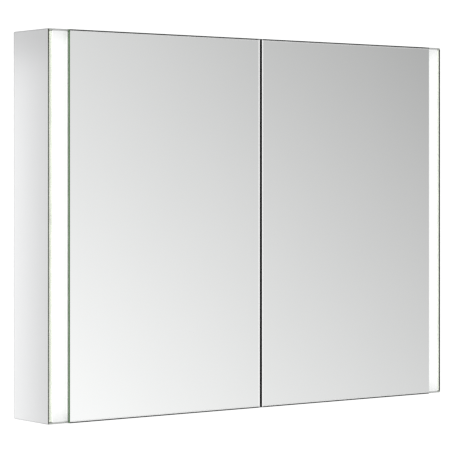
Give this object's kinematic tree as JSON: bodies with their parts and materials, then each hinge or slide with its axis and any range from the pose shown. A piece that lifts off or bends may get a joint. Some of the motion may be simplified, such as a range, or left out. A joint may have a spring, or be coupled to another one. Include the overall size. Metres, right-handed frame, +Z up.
{
  "type": "medicine cabinet with mirror",
  "caption": "Wall-hung bathroom mirror cabinet with hinged double-sided mirror doors, lit glass side strips, glass shelves, a socket and a light button.",
  "frame": {"origin": "centre of the four wall-fixing holes, on the wall plane, halfway up the cabinet and midway across it", "axes": "+X to the right seen from in front, +Y into the wall, +Z up; the doors face -Y"},
  "size_m": [1, 0.1395, 0.75],
  "materials": {
    "anodised_aluminium": "satin anodised",
    "inner_aluminium": "satin anodised",
    "white_sheet": "white powder coat",
    "mill_aluminium": "mill finish",
    "mirror_glass": "polished edges",
    "white_plastic": "fine gloss",
    "strip_glass": "satin white behind, clear border",
    "opal_plastic": "opal, lit from behind",
    "light_board": "white solder mask",
    "light_chip": "encapsulated chip",
    "driver_case": "fine texture",
    "black_rubber": "matte",
    "cable_sheath": "smooth sheath",
    "button_metal": "brushed",
    "shelf_glass": "polished edges",
    "bright_steel": "fine brushed",
    "magnet_case": "matte",
    "clear_silicone": "translucent",
    "cap_nylon": "light grey, matte"
  },
  "bodies": {
    "cabinet": {"side_cover_left": "anodised_aluminium", "side_cover_right": "anodised_aluminium", "top_panel": "anodised_aluminium", "bottom_panel": "anodised_aluminium", "inner_wall_left": "inner_aluminium", "inner_wall_right": "inner_aluminium", "service_panel": "inner_aluminium", "centre_partition": "inner_aluminium", "centre_post": "anodised_aluminium", "back_panel": "white_sheet", "inner_mirror_left": "mirror_glass", "inner_mirror_right": "mirror_glass", "upper_rail": "mill_aluminium", "lower_rail": "mill_aluminium", "access_caps": "white_plastic", "corner_brackets": "mill_aluminium", "strip_glass_left": "strip_glass", "strip_glass_right": "strip_glass", "diffuser_left": "opal_plastic", "diffuser_right": "opal_plastic", "led_channel_left": "mill_aluminium", "led_channel_right": "mill_aluminium", "led_board_left": "light_board", "led_board_right": "light_board", "led_chips_left": "light_chip", "led_chips_right": "light_chip", "led_driver": "driver_case", "terminal_box": "white_plastic", "terminal_lid": "white_plastic", "cable_grommet": "black_rubber", "driver_lead": "cable_sheath", "socket_lead": "cable_sheath", "switch_lead": "cable_sheath", "led_lead_left": "cable_sheath", "led_lead_right": "cable_sheath", "socket_plate": "white_plastic", "socket_insert": "white_plastic", "switch_housing": "white_plastic", "shelves_left": "shelf_glass", "shelves_right": "shelf_glass", "shelf_pins": "bright_steel", "catch_magnets": "magnet_case", "door_bumpers": "clear_silicone", "body_leaf_left": "bright_steel", "body_leaf_right": "bright_steel", "leaf_screws": "bright_steel", "hinge_pin_left": "bright_steel", "hinge_pin_right": "bright_steel", "hinge_caps": "cap_nylon"},
    "left_door": {"front_mirror_left": "mirror_glass", "back_mirror_left": "mirror_glass", "door_leaf_left": "bright_steel", "strike_plates_left": "bright_steel"},
    "right_door": {"front_mirror_right": "mirror_glass", "back_mirror_right": "mirror_glass", "door_leaf_right": "bright_steel", "strike_plates_right": "bright_steel"},
    "light_button": {"light_button": "button_metal"}
  },
  "joints": [
    {"name": "left_door_hinge", "type": "hinge", "parent": "cabinet", "child": "left_door", "pos_m": [-0.459, -0.13175, 0], "axis": [0, 0, -1], "range_deg": [0, 95]},
    {"name": "right_door_hinge", "type": "hinge", "parent": "cabinet", "child": "right_door", "pos_m": [0.459, -0.13175, 0], "axis": [0, 0, 1], "range_deg": [0, 95]},
    {"name": "light_button_press", "type": "slide", "parent": "cabinet", "child": "light_button", "axis": [1, 0, 0], "range_m": [0, 0.0012], "stiffness_N_per_m": 300}
  ]
}
